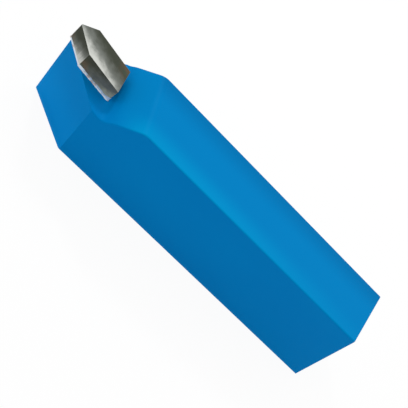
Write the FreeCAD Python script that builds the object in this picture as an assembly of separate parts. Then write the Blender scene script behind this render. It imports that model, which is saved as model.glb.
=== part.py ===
import FreeCAD, Part
import math
import os

# Pointed lathe turning tool with a carbide tip brazed onto a painted steel shank.
# +X runs forward along the shank to the nose, +Y to its left, +Z up.
# The origin is the middle of the whole tool's outline, on the shank's bottom face.
# Lengths are in millimetres, angles in degrees.

# Shank, with a sawn rear end that is out of square from above and from the side
overall_length = 140.0
shank_width = 25.0
shank_height = 32.0
edge_radius = 0.6
end_skew_across_angle = 10.0
end_skew_upright_angle = 8.0

# Head: a slope leads down from the bend to the brow, and turns steeper there into the seat's rear wall
head_length = 32.3
bend_skew_angle = 13.3
bend_radius = 5.0
slope_angle = 36.8
brow_drop = 6.0
brow_turn_angle = 10.5
brow_radius = 10.0
foot_radius = 4.0
seat_angle = 10.3

# Flanks that bring the head to a point
flank_angle = 34.4
flank_relief_angle = 3.8

# Carbide tip: its nose, its rake face and its ground walls
nose_above_top = 1.5
nose_radius = 0.4
nose_offset = 0.2
tip_length = 21.4
tip_width = 10.7
tip_thickness = 6.25
tip_turn_angle = 2.5
left_nose_angle = 36.6
right_nose_angle = 43.1
rear_skew_angle = 2.5
rake_angle = 13.3
rake_side_angle = 2.7
nose_relief_angle = 0.8
side_relief_angle = 0.5
rear_relief_angle = 2.4

# Fits between the pieces, and the braze metal round the foot of the tip
nose_overhang = 0.9
film_thickness = 0.4
pocket_gap = 0.4
fillet_height = 0.7

# Bearings of walls that face straight to the left, to the right and to the rear
left = 90.0
right = -90.0
rear = 180.0

# Size of the blocks that cut along a plane, well past the whole tool
reach = 4 * (overall_length + shank_width + shank_height)


def tan(angle):
    return math.tan(math.radians(angle))


def sin(angle):
    return math.sin(math.radians(angle))


def cos(angle):
    return math.cos(math.radians(angle))


def toward(bearing):
    """The level direction at an angle to +X."""
    return FreeCAD.Vector(cos(bearing), sin(bearing), 0)


def wall(point, bearing, relief):
    """A plane that faces along a bearing and leans inward on the way down."""
    return point, toward(bearing) * cos(relief) - FreeCAD.Vector(0, 0, sin(relief))


def ramp(point, bearing, fall):
    """A plane that faces up and falls along a bearing."""
    return point, toward(bearing) * sin(fall) + FreeCAD.Vector(0, 0, cos(fall))


def deck(point, rise, side_rise):
    """A plane that faces up and rises forward and to the left."""
    return point, FreeCAD.Vector(-tan(rise), -tan(side_rise), 1).normalize()


def moved(plane, distance):
    """The plane moved the way it faces."""
    point, normal = plane
    return point + normal * distance, normal


def crossing(first, second, third):
    """The point that three planes share."""
    planes = (first, second, third)
    total = FreeCAD.Vector()
    for index, (point, normal) in enumerate(planes):
        across = planes[index - 2][1].cross(planes[index - 1][1])
        total += across * point.dot(normal)
    return total / first[1].dot(second[1].cross(third[1]))


def beyond(plane):
    """A large block that fills the side that the plane faces."""
    point, normal = plane
    corner = FreeCAD.Vector(-reach / 2, -reach / 2, 0)
    block = Part.makeBox(reach, reach, reach, corner)
    block.Placement = FreeCAD.Placement(point, FreeCAD.Rotation(FreeCAD.Vector(0, 0, 1), normal))
    return block


def cut_along(shape, planes):
    """The shape without what lies beyond each plane."""
    for plane in planes:
        shape = shape.cut(beyond(plane))
    return shape


def edge_near(shape, point):
    """The shape's edge whose middle lies nearest to a point."""
    return min(shape.Edges, key=lambda edge: edge.CenterOfMass.distanceToPoint(point))


# Nose of the tip: the sharp corner that the nose radius then rounds off
half_point = (left_nose_angle + right_nose_angle) / 2
nose_trim = nose_radius * (1 / sin(half_point) - 1)
nose = FreeCAD.Vector(overall_length / 2 + nose_trim, 0, shank_height + nose_above_top)

# Faces of the tip
forward = toward(tip_turn_angle)
leftward = toward(tip_turn_angle + left)
tip_middle = nose + leftward * nose_offset
rake_face = deck(nose, rake_angle, rake_side_angle)
base_face = deck(nose - FreeCAD.Vector(0, 0, tip_thickness), seat_angle, 0)
left_nose_face = wall(nose, tip_turn_angle + left - left_nose_angle, nose_relief_angle)
right_nose_face = wall(nose, tip_turn_angle + right + right_nose_angle, nose_relief_angle)
left_side = wall(tip_middle + leftward * tip_width / 2, tip_turn_angle + left, side_relief_angle)
right_side = wall(tip_middle - leftward * tip_width / 2, tip_turn_angle + right, side_relief_angle)
tip_rear = wall(nose - forward * tip_length, tip_turn_angle + rear + rear_skew_angle, rear_relief_angle)
nose_foot = crossing(left_nose_face, right_nose_face, base_face)

# The seat lies one braze film below the tip's base
seat = moved(base_face, -film_thickness)

# Planes of the shank, from its top down to the seat
middle = wall(FreeCAD.Vector(), left, 0)
top = deck(FreeCAD.Vector(0, 0, shank_height), 0, 0)
bend = FreeCAD.Vector(overall_length / 2 - head_length, 0, shank_height)
slope = ramp(bend, bend_skew_angle, slope_angle)
brow = crossing(slope, middle, moved(top, -brow_drop))
rear_wall = ramp(brow, bend_skew_angle, slope_angle + brow_turn_angle)

# Planes of the shank's outline
shank_sides = [wall(toward(side) * shank_width / 2, side, 0) for side in (left, right)]
rear_corner = FreeCAD.Vector(-overall_length / 2, -shank_width / 2, 0)
end_facing = FreeCAD.Vector(-1, tan(end_skew_across_angle), tan(end_skew_upright_angle))
rear_end = rear_corner, end_facing.normalize()
overhang_end = wall(nose_foot - FreeCAD.Vector(nose_overhang, 0, 0), 0, 0)
steel_nose = crossing(overhang_end, middle, seat)
flanks = [
    wall(steel_nose, left - flank_angle, flank_relief_angle),
    wall(steel_nose, right + flank_angle, flank_relief_angle),
]


def blank_above(plane):
    """A plain block that holds the whole tip and its braze, as far as it lies above a plane."""
    size = 2 * (tip_length + tip_width + tip_thickness)
    corner = nose - FreeCAD.Vector(size, size, size) / 2
    return Part.makeBox(size, size, size, corner).common(beyond(plane))


def make_pocket():
    """The room round the tip, milled into the seat's rear wall, that the braze fills at the foot."""
    walls = [moved(face, pocket_gap) for face in (left_side, right_side, tip_rear)]
    return cut_along(blank_above(seat), walls)


def make_shank():
    """The steel bar with its slope, seat, pocket, pointed flanks and sawn rear end."""
    bar = Part.makeBox(overall_length, shank_width, shank_height, rear_corner)
    for face in (slope, rear_wall):
        bar = bar.cut(beyond(face).common(beyond(seat)))
    bends = ((bend_radius, slope, top), (brow_radius, slope, rear_wall), (foot_radius, rear_wall, seat))
    for radius, upper, lower in bends:
        bar = bar.makeFillet(radius, [edge_near(bar, crossing(upper, lower, middle))])

    # The upper fillets run on over the bend, the slope and the seat
    long_edges = []
    for side in shank_sides:
        bend_end = crossing(slope, top, side)
        rear_top = FreeCAD.Vector(-overall_length / 2, bend_end.y, bend_end.z)
        long_edges.append(edge_near(bar, (bend_end + rear_top) / 2))
        long_edges.append(edge_near(bar, side[0]))
    bar = bar.makeFillet(edge_radius, long_edges)
    return cut_along(bar, [rear_end] + flanks).cut(make_pocket())


def make_tip():
    """The carbide tip: base, rake face, ground nose faces, sides and rear."""
    walls = [left_nose_face, right_nose_face, left_side, right_side, tip_rear]
    tip = cut_along(blank_above(base_face), walls + [rake_face])
    return tip.makeFillet(nose_radius, [edge_near(tip, (nose + nose_foot) / 2)])


def make_braze(shank, tip):
    """The braze metal: the film under the tip and the fillet round its foot."""
    ends = [left_nose_face, right_nose_face, moved(base_face, fillet_height)]
    return cut_along(make_pocket(), ends).cut(tip).cut(shank)


shank = make_shank()
carbide_tip = make_tip()
braze_layer = make_braze(shank, carbide_tip)

os.makedirs("parts", exist_ok=True)
for name, shape in (("shank", shank), ("carbide_tip", carbide_tip), ("braze_layer", braze_layer)):
    shape.exportStep("parts/" + name + ".step")
    print(name, "is valid:", shape.isValid(), "solids:", len(shape.Solids), "mm3:", round(shape.Volume))
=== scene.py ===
import math

import bmesh
import bpy
from mathutils import Matrix, Vector, noise


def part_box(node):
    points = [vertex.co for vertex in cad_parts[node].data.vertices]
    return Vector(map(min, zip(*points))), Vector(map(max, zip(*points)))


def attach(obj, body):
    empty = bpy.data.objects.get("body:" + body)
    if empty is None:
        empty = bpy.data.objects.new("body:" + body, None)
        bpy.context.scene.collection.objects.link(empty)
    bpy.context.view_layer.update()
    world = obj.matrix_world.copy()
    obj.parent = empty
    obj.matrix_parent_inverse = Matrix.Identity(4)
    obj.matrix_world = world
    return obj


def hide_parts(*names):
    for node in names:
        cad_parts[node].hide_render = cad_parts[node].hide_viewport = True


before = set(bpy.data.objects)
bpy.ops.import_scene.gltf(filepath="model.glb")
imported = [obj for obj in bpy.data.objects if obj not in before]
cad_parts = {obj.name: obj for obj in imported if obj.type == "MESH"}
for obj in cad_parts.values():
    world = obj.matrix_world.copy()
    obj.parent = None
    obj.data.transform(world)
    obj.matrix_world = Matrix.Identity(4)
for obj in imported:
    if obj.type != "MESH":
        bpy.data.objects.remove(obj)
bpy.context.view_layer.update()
shank_low, shank_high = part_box("shank")

# Lathe turning tool: +X forward along the shank to the nose, +Y to its left, +Z up.
# Lengths are in metres, and MM turns millimetres into metres.
MM = 0.001
FRONT = Vector((1, 0, 0))
LEFT = Vector((0, 1, 0))
UP = Vector((0, 0, 1))
ALONG, ACROSS, UPRIGHT = range(3)
WHITE = (1.0, 1.0, 1.0)

# Paint: a satin blue over steel, with painted light and shade in some of its colours
PAINT = (0.0, 0.182, 0.490)
PAINT_PALE = (0.0, 0.194, 0.505)
# Painted light: the paler blue of the top faces
PAINT_TOP_LIGHT = (0.0, 0.199, 0.484)
# Painted highlight: the pale blue near the top's left edge
PAINT_HIGHLIGHT = (0.0, 0.255, 0.550)
# Painted shade: the darker blue near the top's right edge
PAINT_SHADE = (0.0, 0.152, 0.400)
# Painted light: the paler blue at the foot of the flanks
PAINT_FOOT_LIGHT = (0.0, 0.225, 0.590)
PAINT_STAIN = (0.0, 0.230, 0.310)
PAINT_SHEEN = (0.0, 0.9, 1.0)
PAINT_GLOSS = 0.02
PAINT_ROUGHNESS = 0.42
PAINT_EDGE = 0.25 * MM

# Where each painted light or shade of the paint, and the stain, starts and where it is full
TOP_LIGHT_HEIGHT = (shank_high.z - 10 * MM, shank_high.z - 3 * MM)
TOP_LIGHT_MOST = 0.7
HIGHLIGHT_HEIGHT = (shank_high.z - 6 * MM, shank_high.z - 0.5 * MM)
HIGHLIGHT_ACROSS = (shank_high.y - 9 * MM, shank_high.y)
HIGHLIGHT_ALONG = (shank_low.x - 40 * MM, shank_low.x + 95 * MM)
SHADE_HEIGHT = (shank_high.z - 1 * MM, shank_high.z)
SHADE_ACROSS = (shank_low.y + 10.5 * MM, shank_low.y - 0.5 * MM)
FOOT_LIGHT_HEIGHT = (22 * MM, 2 * MM)
STAIN_REACH = (4.0 * MM, 1.0 * MM)

# How far a face has to turn up or forward, by its normal, to take such a painted light or shade
UPWARD = (0.2, 0.7)
FORWARD = (0.2, 0.5)

# Unevenness of the paint: wide runs of tone, blots in the stain, soft sags and a fine peel
TONE_SIZE = 22 * MM
TONE_STRETCH = (0.4, 1, 1)
TONE_RANGE = (0.3, 0.7)
STAIN_SIZE = 2.5 * MM
STAIN_RANGE = (0.25, 0.6)
SAG_SIZE = 9 * MM
SAG_STRETCH = (0.5, 1, 1)
SAG_DEPTH = 0.05 * MM
PEEL_SIZE = 0.9 * MM
PEEL_DEPTH = 0.006 * MM

# Cemented carbide: the dark end of each ground face's run of painted reflection and shade, its middle, and
# the bright ends
CARBIDE_DARK = (0.042, 0.047, 0.034)
CARBIDE_MIDDLE = (0.140, 0.150, 0.135)
CARBIDE_BRIGHT = (0.470, 0.480, 0.450)
CARBIDE_PALE = (0.540, 0.550, 0.520)
# Painted reflection: the tan at the foot of the tip's sides
CARBIDE_TAN_REFLECTION = (0.570, 0.525, 0.360)
CARBIDE_GLOSS = 0.1
CARBIDE_ROUGHNESS = (0.36, 0.56)
CARBIDE_EDGE = 0.07 * MM
TO_MIDDLE = (0.0, 0.6)
TO_BRIGHT = (0.5, 1.0)

# Grinding lines, and the blots that make each run uneven
GRIND_SIZE = 0.30 * MM
GRIND_STRETCH = 0.06
GRIND_SHARE = 0.20
GRIND_DEPTH = 0.008 * MM
BLOT_SIZE = 2.6 * MM
BLOT_SHARE = 0.45

# Heat tint at some corners of the tip
HEAT_BROWN = (0.110, 0.072, 0.040)
HEAT_GREEN = (0.044, 0.076, 0.052)
HEAT_SIZE = 2.7 * MM
HEAT_RANGE = (0.28, 0.62)
HEAT_CORE = 0.3 * MM

# Each ground face: the dark and bright ends of its painted reflection and shade, its metallic look, its
# heat tint's reach and strength
RAKE_DARK = Vector((-0.7, -3.3, 0)) * MM
RAKE_BRIGHT = Vector((0.8, 5.5, 0)) * MM
RAKE_METAL = 1.0
RAKE_TINT = (6.5 * MM, 0.75)
SIDE_DARK = Vector((0, 0, -2.4)) * MM
SIDE_BRIGHT = Vector((-1.6, 0, -10.2)) * MM
SIDE_METAL = 0.30
SIDE_TINT = (5.0 * MM, 0.9)
NOSE_BACKWARD = 0.40
NOSE_DOWNWARD = 0.91
NOSE_DARK = 3.0 * MM
NOSE_BRIGHT = 8.4 * MM
NOSE_METAL = 0.6
NOSE_TINT = (4.0 * MM, 0.4)
REAR_METAL = 0.6

# How far along an axis a face's normal has to point for it to count as level or as square
LEVEL_FACE = 0.8
SQUARE_FACE = 0.9

# Braze metal
BRAZE_BRIGHT = (0.640, 0.730, 0.820)
BRAZE_COPPER = (0.480, 0.360, 0.300)
BRAZE_METAL = 0.4
BRAZE_ROUGHNESS = (0.35, 0.60)
COPPER_SIZE = 1.8 * MM
COPPER_RANGE = (0.50, 0.68)
GRAIN_SIZE = 0.25 * MM
GRAIN_DEPTH = 0.02 * MM

# Braze bead: the film under the tip, how far its outline reaches in under the tip and into its walls
BEAD_STEP = 0.2 * MM
BEAD_FILM = 0.4 * MM
BEAD_LAP = 0.3 * MM
BEAD_INSET = 0.03 * MM
BEAD_ARC_STEPS = 7
BEAD_SHARP_ANGLE = 60

# How far the bead creeps out on the seat and up the tip's walls, at the nose and along the sides
BEAD_REACH = (0.09 * MM, 0.32 * MM)
BEAD_RISE = (0.10 * MM, 0.45 * MM)
BEAD_FACING = (0.55, 0.10)
BEAD_HOLLOW = (0.55, 1.0)

# Lumps of the bead, with finer ones on them, and its swelling at the tip's rear corners
BEAD_LUMP = 1.7 * MM
BEAD_LUMPINESS = 0.45
BEAD_FINER = 3.1
BEAD_FINE_SHARE = 0.4
BEAD_CORNER = 2.5 * MM
BEAD_CORNER_REACH = 0.6
BEAD_CORNER_RISE = 1.8

# Mesh clean-up: points closer than the weld are one, faces closer in angle than the flat angle are one
WELD = 0.002 * MM
FLAT_ANGLE = 1.0

# Camera, as the photograph has it
CAMERA_AT = Vector((75.14, 190.60, 207.98)) * MM
CAMERA_LOOKS_AT = Vector((1.92, 0.08, 16.0)) * MM
CAMERA_ROLL = math.radians(59.372)
CAMERA_LENS = 75.49
CAMERA_SENSOR = 36.0
CAMERA_SHIFT = (-0.0008, 0.0006)
CAMERA_NEAR = 10 * MM

# The place on the tool's head that most lamps are aimed at
HEAD = Vector((50, 0, 28)) * MM


def material(name):
    """A new material, its node tree and its surface shader."""
    made = bpy.data.materials.new(name)
    made.use_nodes = True
    tree = made.node_tree
    return made, tree, tree.nodes["Principled BSDF"]


def node(tree, kind, inputs=(), **settings):
    """A node with its settings and its inputs, each a value or another node's output."""
    made = tree.nodes.new(kind)
    for key, value in settings.items():
        setattr(made, key, value)
    for key, value in dict(inputs).items():
        if isinstance(value, bpy.types.NodeSocket):
            tree.links.new(value, made.inputs[key])
        else:
            made.inputs[key].default_value = value
    return made


def math_node(tree, operation, first, second):
    """The result of one step of arithmetic."""
    return node(tree, "ShaderNodeMath", {0: first, 1: second}, operation=operation).outputs[0]


def product(tree, first, *others):
    """The values multiplied together."""
    for other in others:
        first = math_node(tree, "MULTIPLY", first, other)
    return first


def rgba(colour):
    """The colour with full alpha."""
    return (*colour, 1.0)


def blend(tree, share, first, second):
    """The colour that goes from the first to the second as the share rises from 0 to 1."""
    inputs = {"Factor": share}
    for key, value in ((6, first), (7, second)):
        inputs[key] = rgba(value) if isinstance(value, tuple) else value
    return node(tree, "ShaderNodeMix", inputs, data_type="RGBA").outputs[2]


def spread(tree, value, low, high):
    """A smooth step from 0 at the low value to 1 at the high one."""
    inputs = {"Value": value, "From Min": low, "From Max": high}
    return node(tree, "ShaderNodeMapRange", inputs, interpolation_type="SMOOTHSTEP").outputs[0]


def between(tree, share, low, high):
    """The value that goes from the low one to the high one as the share rises from 0 to 1."""
    inputs = {"Value": share, "To Min": low, "To Max": high}
    return node(tree, "ShaderNodeMapRange", inputs).outputs[0]


def speckle(tree, place, size, detail=2.0, stretch=(1, 1, 1)):
    """Noise from 0 to 1 with blots about one size across, drawn out along an axis with a small stretch."""
    mapped = node(tree, "ShaderNodeMapping", {"Vector": place, "Scale": stretch}).outputs[0]
    inputs = {"Vector": mapped, "Scale": 1 / size, "Detail": detail}
    return node(tree, "ShaderNodeTexNoise", inputs).outputs[0]


def bumps(tree, height, distance, normal=None):
    """A normal raised by a height between 0 and 1, times a distance."""
    inputs = {"Height": height, "Distance": distance}
    if normal:
        inputs["Normal"] = normal
    return node(tree, "ShaderNodeBump", inputs).outputs[0]


def along(tree, place, start, end):
    """0 at the start point, 1 at the end point and linear between them."""
    way = end - start
    offset = node(tree, "ShaderNodeVectorMath", {0: place, 1: start}, operation="SUBTRACT").outputs[0]
    inputs = {0: offset, 1: way / way.length_squared}
    return node(tree, "ShaderNodeVectorMath", inputs, operation="DOT_PRODUCT").outputs["Value"]


def distance_to(tree, place, point):
    """How far each place is from a point."""
    inputs = {0: place, 1: point}
    return node(tree, "ShaderNodeVectorMath", inputs, operation="DISTANCE").outputs["Value"]


def stirred(tree, share, stir, amount):
    """The share made uneven by a noise, by up to half the amount each way."""
    offset = product(tree, math_node(tree, "SUBTRACT", stir, 0.5), amount)
    return math_node(tree, "ADD", share, offset)


def paint_colour(tree, stain_at):
    """Blue with wide runs of tone, painted light and shade in places, and a stain beside the tip."""
    texture = node(tree, "ShaderNodeTexCoord").outputs
    place = texture["Object"]
    at = node(tree, "ShaderNodeSeparateXYZ", {0: place}).outputs
    facing = node(tree, "ShaderNodeSeparateXYZ", {0: texture["Normal"]}).outputs
    upward = spread(tree, facing[UPRIGHT], *UPWARD)
    forward = spread(tree, facing[ALONG], *FORWARD)

    tone = spread(tree, speckle(tree, place, TONE_SIZE, stretch=TONE_STRETCH), *TONE_RANGE)
    colour = blend(tree, tone, PAINT, PAINT_PALE)

    # Painted light: a little paler over the whole top
    top_light = product(tree, spread(tree, at[UPRIGHT], *TOP_LIGHT_HEIGHT), TOP_LIGHT_MOST, upward)
    colour = blend(tree, top_light, colour, PAINT_TOP_LIGHT)

    # Painted highlight: paler toward the top's left edge, more so near the head
    highlight_across = spread(tree, at[ACROSS], *HIGHLIGHT_ACROSS)
    highlight_upright = spread(tree, at[UPRIGHT], *HIGHLIGHT_HEIGHT)
    highlight_along = spread(tree, at[ALONG], *HIGHLIGHT_ALONG)
    highlight = product(tree, highlight_across, highlight_upright, highlight_along, upward)
    colour = blend(tree, highlight, colour, PAINT_HIGHLIGHT)

    # Painted shade: darker toward the top's right edge
    shade_across = spread(tree, at[ACROSS], *SHADE_ACROSS)
    shade_upright = spread(tree, at[UPRIGHT], *SHADE_HEIGHT)
    colour = blend(tree, product(tree, shade_across, shade_upright, upward), colour, PAINT_SHADE)

    # Painted light: paler down the flanks, toward their foot
    low = product(tree, spread(tree, at[UPRIGHT], *FOOT_LIGHT_HEIGHT), forward)
    colour = blend(tree, low, colour, PAINT_FOOT_LIGHT)

    # Stained by heat beside the tip
    stain = spread(tree, distance_to(tree, place, stain_at), *STAIN_REACH)
    blots = spread(tree, speckle(tree, place, STAIN_SIZE), *STAIN_RANGE)
    return blend(tree, product(tree, stain, blots), colour, PAINT_STAIN)


def paint_material(stain_at):
    """Satin blue paint with soft sags, a fine peel and a stain beside the tip."""
    made, tree, shader = material("satin_blue_paint")
    tree.links.new(paint_colour(tree, stain_at), shader.inputs["Base Color"])
    place = node(tree, "ShaderNodeTexCoord").outputs["Object"]
    sag = speckle(tree, place, SAG_SIZE, stretch=SAG_STRETCH)
    peel = speckle(tree, place, PEEL_SIZE, detail=1.0)
    shape = bumps(tree, peel, PEEL_DEPTH, bumps(tree, sag, SAG_DEPTH))
    tree.links.new(shape, shader.inputs["Normal"])
    shader.inputs["Roughness"].default_value = PAINT_ROUGHNESS
    shader.inputs["Specular IOR Level"].default_value = PAINT_GLOSS
    shader.inputs["Specular Tint"].default_value = rgba(PAINT_SHEEN)
    return made


def heated(tree, place, colour, tint):
    """The colour with a brown and green heat tint that fades out from a corner."""
    tint_at, reach, strength = tint
    share = product(tree, spread(tree, distance_to(tree, place, tint_at), reach, HEAT_CORE), strength)
    patches = spread(tree, speckle(tree, place, HEAT_SIZE, detail=0.0), *HEAT_RANGE)
    return blend(tree, share, colour, blend(tree, patches, HEAT_GREEN, HEAT_BROWN))


def carbide_material(name, dark_at, bright_at, grind_along, bright, metal, tint=None):
    """Ground carbide whose colour runs from dark to bright between two points, a painted reflection and
    shade, with fine lines along an axis.
    """
    made, tree, shader = material(name)
    place = node(tree, "ShaderNodeTexCoord").outputs["Object"]
    stretch = [GRIND_STRETCH if axis == grind_along else 1.0 for axis in range(3)]
    lines = speckle(tree, place, GRIND_SIZE, detail=3.0, stretch=stretch)
    blots = speckle(tree, place, BLOT_SIZE)
    # The painted reflection and shade run from the dark point to the bright one
    share = stirred(tree, along(tree, place, dark_at, bright_at), blots, BLOT_SHARE)
    share = stirred(tree, share, lines, GRIND_SHARE)
    colour = blend(tree, spread(tree, share, *TO_MIDDLE), CARBIDE_DARK, CARBIDE_MIDDLE)
    colour = blend(tree, spread(tree, share, *TO_BRIGHT), colour, bright)
    if tint:
        colour = heated(tree, place, colour, tint)
    tree.links.new(colour, shader.inputs["Base Color"])
    tree.links.new(between(tree, lines, *CARBIDE_ROUGHNESS), shader.inputs["Roughness"])
    tree.links.new(bumps(tree, lines, GRIND_DEPTH), shader.inputs["Normal"])
    shader.inputs["Metallic"].default_value = metal
    shader.inputs["Specular IOR Level"].default_value = CARBIDE_GLOSS
    return made


def braze_material():
    """Set braze metal, bright, with coppery spots and a fine grain."""
    made, tree, shader = material("braze_metal")
    place = node(tree, "ShaderNodeTexCoord").outputs["Object"]
    spots = spread(tree, speckle(tree, place, COPPER_SIZE), *COPPER_RANGE)
    tree.links.new(blend(tree, spots, BRAZE_BRIGHT, BRAZE_COPPER), shader.inputs["Base Color"])
    grain = speckle(tree, place, GRAIN_SIZE, detail=3.0)
    tree.links.new(between(tree, grain, *BRAZE_ROUGHNESS), shader.inputs["Roughness"])
    tree.links.new(bumps(tree, grain, GRAIN_DEPTH), shader.inputs["Normal"])
    shader.inputs["Metallic"].default_value = BRAZE_METAL
    return made


def in_scene(name, data):
    """A new object in the scene for a mesh, a light or the camera's lens."""
    made = bpy.data.objects.new(name, data)
    bpy.context.scene.collection.objects.link(made)
    return made


def flat_faced(name):
    """A copy of a CAD node's mesh with one face for each flat side."""
    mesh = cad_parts[name].data.copy()
    mesh.materials.clear()
    shape = bmesh.new()
    shape.from_mesh(mesh)
    bmesh.ops.remove_doubles(shape, verts=shape.verts, dist=WELD)
    flat = math.radians(FLAT_ANGLE)
    bmesh.ops.dissolve_limit(shape, angle_limit=flat, verts=shape.verts, edges=shape.edges)
    return mesh, shape


def keep(shape, mesh, name):
    """The object that holds an edited mesh, without the shading that the CAD mesh came with."""
    shape.to_mesh(mesh)
    shape.free()
    for old in ("custom_normal", "sharp_edge", "sharp_face"):
        if old in mesh.attributes:
            mesh.attributes.remove(mesh.attributes[old])
    mesh.shade_smooth()
    return in_scene(name, mesh)


def round_edges(piece, width, angle, steps):
    """Rounds a piece's sharp edges and keeps its flat faces flat to the light."""
    bevel = piece.modifiers.new("edge_rounding", "BEVEL")
    bevel.width = width
    bevel.segments = steps
    bevel.limit_method = "ANGLE"
    bevel.angle_limit = math.radians(angle)
    normals = piece.modifiers.new("flat_faces", "WEIGHTED_NORMAL")
    normals.weight = 100
    normals.keep_sharp = True


def stand_for(piece, name):
    """The piece shows instead of a CAD node and moves with its body."""
    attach(piece, "root")
    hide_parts(name)


def make_shank(stain_at):
    """The painted steel shank, with its edges softened by the paint."""
    mesh, shape = flat_faced("shank")
    piece = keep(shape, mesh, "painted_shank")
    mesh.materials.append(paint_material(stain_at))
    round_edges(piece, PAINT_EDGE, angle=30, steps=3)
    stand_for(piece, "shank")


def side_of(normal):
    """Which side of the tip a flat face is on."""
    if abs(normal.z) > LEVEL_FACE:
        return "rake" if normal.z > 0 else "base"
    if abs(normal.x) > SQUARE_FACE:
        return "rear" if normal.x < 0 else "nose"
    hand = "left" if normal.y > 0 else "right"
    return hand + ("_side" if abs(normal.y) > SQUARE_FACE else "_nose")


def tip_faces(shape):
    """The largest face on each side of the tip."""
    return {side_of(face.normal): face for face in sorted(shape.faces, key=lambda face: face.calc_area())}


def corner(face, direction):
    """The corner of a face that lies furthest along a direction."""
    return max((vert.co.copy() for vert in face.verts), key=lambda point: point.dot(direction))


def rake_material(rake):
    """The rake face: a painted reflection, dark along its right side and bright along its left, and a heat
    tint at its right rear corner.
    """
    middle = rake.calc_center_median_weighted()
    tint = (corner(rake, -FRONT - LEFT), *RAKE_TINT)
    return carbide_material(
        "carbide_rake_face", middle + RAKE_DARK, middle + RAKE_BRIGHT, ALONG,
        CARBIDE_BRIGHT, RAKE_METAL, tint)


def side_material(side, hand):
    """A side of the tip: a painted reflection, dark along its top and a pale tan at its foot, and a heat
    tint at its lower front corner.
    """
    top = corner(side, FRONT + UP)
    tint = (corner(side, FRONT - UP), *SIDE_TINT)
    return carbide_material(
        "carbide_" + hand + "_side", top + SIDE_DARK, top + SIDE_BRIGHT, ALONG,
        CARBIDE_TAN_REFLECTION, SIDE_METAL, tint)


def nose_material(nose_face, hand):
    """A nose face: a painted reflection, dark along its top and pale down and back from there, and a heat
    tint at its lower front corner.
    """
    top = corner(nose_face, FRONT + UP)
    back = (corner(nose_face, UP - FRONT) - top).normalized()
    way = back * NOSE_BACKWARD - UP * NOSE_DOWNWARD
    tint = (corner(nose_face, FRONT - UP), *NOSE_TINT)
    return carbide_material(
        "carbide_" + hand + "_nose_face", top + way * NOSE_DARK, top + way * NOSE_BRIGHT, UPRIGHT,
        CARBIDE_PALE, NOSE_METAL, tint)


def rear_material(rear):
    """The tip's rear: painted shade, dark at its top and no brighter than the carbide's middle tone at its
    foot.
    """
    return carbide_material(
        "carbide_rear", corner(rear, UP), corner(rear, -UP), ACROSS, CARBIDE_MIDDLE, REAR_METAL)


def make_tip():
    """The carbide tip, each ground face with its own look.

    Gives the outline of its base, the way up from the base, and the corner where the paint is stained.
    """
    mesh, shape = flat_faced("carbide_tip")
    faces = tip_faces(shape)
    materials = {"rake": rake_material(faces["rake"])}
    for hand in ("left", "right"):
        materials[hand + "_side"] = side_material(faces[hand + "_side"], hand)
        materials[hand + "_nose"] = nose_material(faces[hand + "_nose"], hand)
    materials["rear"] = rear_material(faces["rear"])
    for made in materials.values():
        mesh.materials.append(made)

    # The hidden base looks like the rear, and the rounded nose like the nose face on its left
    looks_like = {"base": "rear", "nose": "left_nose"}
    order = list(materials)
    for face in shape.faces:
        name = side_of(face.normal)
        face.material_index = order.index(looks_like.get(name, name))

    # The base faces down, so its corners are reversed to go round to the left as seen from above
    foot = [vert.co.copy() for vert in faces["base"].verts][::-1]
    base_up = -faces["base"].normal
    stain_at = corner(faces["left_side"], -FRONT)
    piece = keep(shape, mesh, "ground_carbide_tip")
    round_edges(piece, CARBIDE_EDGE, angle=20, steps=2)
    stand_for(piece, "carbide_tip")
    return foot, base_up, stain_at


def along_outline(corners, step):
    """Evenly spaced points round a closed outline."""
    points = []
    for start, end in zip(corners, corners[1:] + corners[:1]):
        count = max(1, round((end - start).length / step))
        points += [start.lerp(end, index / count) for index in range(count)]
    return points


def part_way(ends, share):
    """The value a share of the way from the first of two ends to the second."""
    return ends[0] + (ends[1] - ends[0]) * share


def bead_section(outward, lump, corner_share):
    """One cross-section of the bead: how far out and how far up each of its points is.

    It starts under the tip, goes up inside the tip's wall, down the surface and back in along the seat.
    The surface is a quarter turn, fully hollow along the sides and fuller at the nose.
    """
    side = min(max((BEAD_FACING[0] - outward.x) / (BEAD_FACING[0] - BEAD_FACING[1]), 0.0), 1.0)
    side = side * side * (3 - 2 * side)
    swell = 1 + BEAD_LUMPINESS * lump
    reach = part_way(BEAD_REACH, side) * (swell + BEAD_CORNER_REACH * corner_share)
    rise = part_way(BEAD_RISE, side) * (swell + BEAD_CORNER_RISE * corner_share)
    full = 1 - part_way(BEAD_HOLLOW, side)
    section = [(-BEAD_LAP, 0), (-BEAD_INSET, 0), (-BEAD_INSET, rise)]
    for index in range(BEAD_ARC_STEPS + 1):
        turn = math.pi / 2 * (1 - index / BEAD_ARC_STEPS)
        out = part_way((1 - math.sin(turn), math.cos(turn)), full)
        up = part_way((1 - math.cos(turn), math.sin(turn)), full)
        section.append((reach * out, (rise + BEAD_FILM) * up - BEAD_FILM))
    section.append((-BEAD_LAP, -BEAD_FILM))
    return section


def bead_rings(foot, up):
    """The bead's cross-sections, one after another round the tip's foot."""
    points = along_outline(foot, BEAD_STEP)
    rear_corners = sorted(foot, key=lambda point: point.x)[:2]
    rings = []
    for index, point in enumerate(points):
        # The way round is taken over four steps, so that the bead turns softly at the foot's corners
        way = points[(index + 2) % len(points)] - points[index - 2]
        outward = way.cross(up).normalized()
        coarse = point / BEAD_LUMP
        lump = noise.noise(coarse) + BEAD_FINE_SHARE * noise.noise(coarse * BEAD_FINER)
        distance = min((point - rear_corner).length for rear_corner in rear_corners)
        nearness = max(0.0, 1 - distance / BEAD_CORNER)
        corner_share = nearness ** 2 * (3 - nearness) / 2
        section = bead_section(outward, lump, corner_share)
        rings.append([point + outward * out + up * rise for out, rise in section])
    return rings


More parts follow.
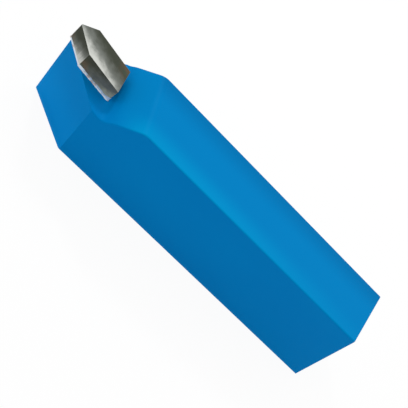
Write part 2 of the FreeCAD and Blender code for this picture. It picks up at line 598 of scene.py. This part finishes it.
def ring_mesh(name, rings):
    """A closed mesh through cross-sections that go round in a loop, its two rims filled with fans."""
    count = len(rings)
    width = len(rings[0])
    verts = [vert for ring in rings for vert in ring]
    faces = []
    for index in range(count):
        here, there = index * width, (index + 1) % count * width
        faces += [(here + k, there + k, there + k + 1, here + k + 1) for k in range(width - 1)]
    for cap in (0, width - 1):
        rim = [index * width + cap for index in range(count)]
        faces += [(here, there, len(verts)) for here, there in zip(rim, rim[1:] + rim[:1])]
        verts.append(sum((verts[vert] for vert in rim), Vector()) / count)
    mesh = bpy.data.meshes.new(name)
    mesh.from_pydata(verts, [], faces)
    return mesh


def make_bead(foot, up):
    """The braze metal: a film under the tip that creeps out into an uneven bead round its foot."""
    mesh = ring_mesh("braze_bead", bead_rings(foot, up))
    mesh.materials.append(braze_material())
    shape = bmesh.new()
    shape.from_mesh(mesh)
    bmesh.ops.recalc_face_normals(shape, faces=shape.faces)
    shape.to_mesh(mesh)
    shape.free()
    mesh.shade_smooth()
    mesh.set_sharp_from_angle(angle=math.radians(BEAD_SHARP_ANGLE))
    stand_for(in_scene("braze_bead", mesh), "braze_layer")


def aim(thing, at, toward):
    """Points a lamp or the camera from one place toward another."""
    thing.location = at
    thing.rotation_mode = "QUATERNION"
    thing.rotation_quaternion = (toward - at).to_track_quat("-Z", "Y")


def make_camera():
    """The camera, turned about its own axis as the photograph is."""
    lens = bpy.data.cameras.new("camera")
    lens.sensor_width = CAMERA_SENSOR
    lens.lens = CAMERA_LENS
    lens.shift_x, lens.shift_y = CAMERA_SHIFT
    lens.clip_start = CAMERA_NEAR
    camera = in_scene("camera", lens)
    aim(camera, CAMERA_AT, CAMERA_LOOKS_AT)
    roll = Matrix.Rotation(CAMERA_ROLL, 3, "Z").to_quaternion()
    camera.rotation_quaternion = camera.rotation_quaternion @ roll
    bpy.context.scene.camera = camera


def make_lamp(name, at, toward, size, power):
    """A rectangular soft lamp."""
    light = bpy.data.lights.new(name, "AREA")
    light.shape = "RECTANGLE"
    light.size, light.size_y = size
    light.energy = power
    aim(in_scene(name, light), at, toward)


def from_tool(azimuth, elevation, distance):
    """A place round the tool's head. Azimuth 0 is in front of the nose, 90 on the tool's left."""
    turn, rise = math.radians(azimuth), math.radians(elevation)
    level = math.cos(rise)
    way = Vector((math.cos(turn) * level, math.sin(turn) * level, math.sin(rise)))
    return HEAD + way * distance


def seen_directly(tree):
    """1 for the camera, mirror-like and see-through rays, 0 for the rays that light the object."""
    path = node(tree, "ShaderNodeLightPath").outputs
    seen = math_node(tree, "MAXIMUM", path["Is Camera Ray"], path["Is Glossy Ray"])
    return math_node(tree, "MAXIMUM", seen, path["Is Transmission Ray"])


def make_world(level):
    """White where it is seen, and a plain even light of its own level on the object."""
    world = bpy.data.worlds.new("white_studio")
    world.use_nodes = True
    tree = world.node_tree
    background = tree.nodes["Background"]
    background.inputs["Color"].default_value = rgba(WHITE)
    tree.links.new(between(tree, seen_directly(tree), level, 1.0), background.inputs["Strength"])
    bpy.context.scene.world = world


def floor_material(albedo, glow, short_ray):
    """White with a faint shadow, clear from below.

    Diffuse rays shorter than the short ray pass it too, and so the world lights the tool's underside.
    """
    made, tree, shader = material("floor_white")
    tree.nodes.remove(shader)
    matt = node(tree, "ShaderNodeBsdfDiffuse", {"Color": rgba((albedo,) * 3)}).outputs[0]
    bright = node(tree, "ShaderNodeEmission", {"Color": rgba(WHITE), "Strength": 1.0}).outputs[0]
    share = product(tree, seen_directly(tree), glow)
    above = node(tree, "ShaderNodeMixShader", {0: share, 1: matt, 2: bright}).outputs[0]
    clear = node(tree, "ShaderNodeBsdfTransparent").outputs[0]
    below = node(tree, "ShaderNodeNewGeometry").outputs["Backfacing"]
    path = node(tree, "ShaderNodeLightPath").outputs
    short = math_node(tree, "LESS_THAN", path["Ray Length"], short_ray)
    passing = product(tree, short, path["Is Diffuse Ray"])
    clear_share = math_node(tree, "MAXIMUM", below, passing)
    both = node(tree, "ShaderNodeMixShader", {0: clear_share, 1: above, 2: clear}).outputs[0]
    tree.links.new(both, tree.nodes["Material Output"].inputs["Surface"])
    return made


def make_floor(size, drop, look):
    """A plain square floor, a small drop below the tool."""
    half = size / 2
    corners = [(-half, -half, -drop), (half, -half, -drop), (half, half, -drop), (-half, half, -drop)]
    mesh = bpy.data.meshes.new("floor")
    mesh.from_pydata(corners, [], [(0, 1, 2, 3)])
    mesh.materials.append(look)
    floor = in_scene("floor", mesh)


foot, base_up, stain_at = make_tip()
make_shank(stain_at)
make_bead(foot, base_up)

make_camera()
make_world(level=0.80)
make_floor(size=4.0, drop=0.2 * MM, look=floor_material(albedo=0.9, glow=0.93, short_ray=2 * MM))
make_lamp(
    "front_right_lamp", at=from_tool(azimuth=-60, elevation=45, distance=0.6), toward=HEAD,
    size=(0.08, 0.08), power=1.1)
make_lamp(
    "front_lamp", at=from_tool(azimuth=8, elevation=14, distance=0.5), toward=HEAD,
    size=(0.35, 0.35), power=0.28)
make_lamp(
    "strip_lamp", at=Vector((-60, -145, 232)) * MM, toward=Vector((-10, 0, 32)) * MM,
    size=(0.18, 0.09), power=0.10)

bpy.context.scene.view_settings.view_transform = "Standard"
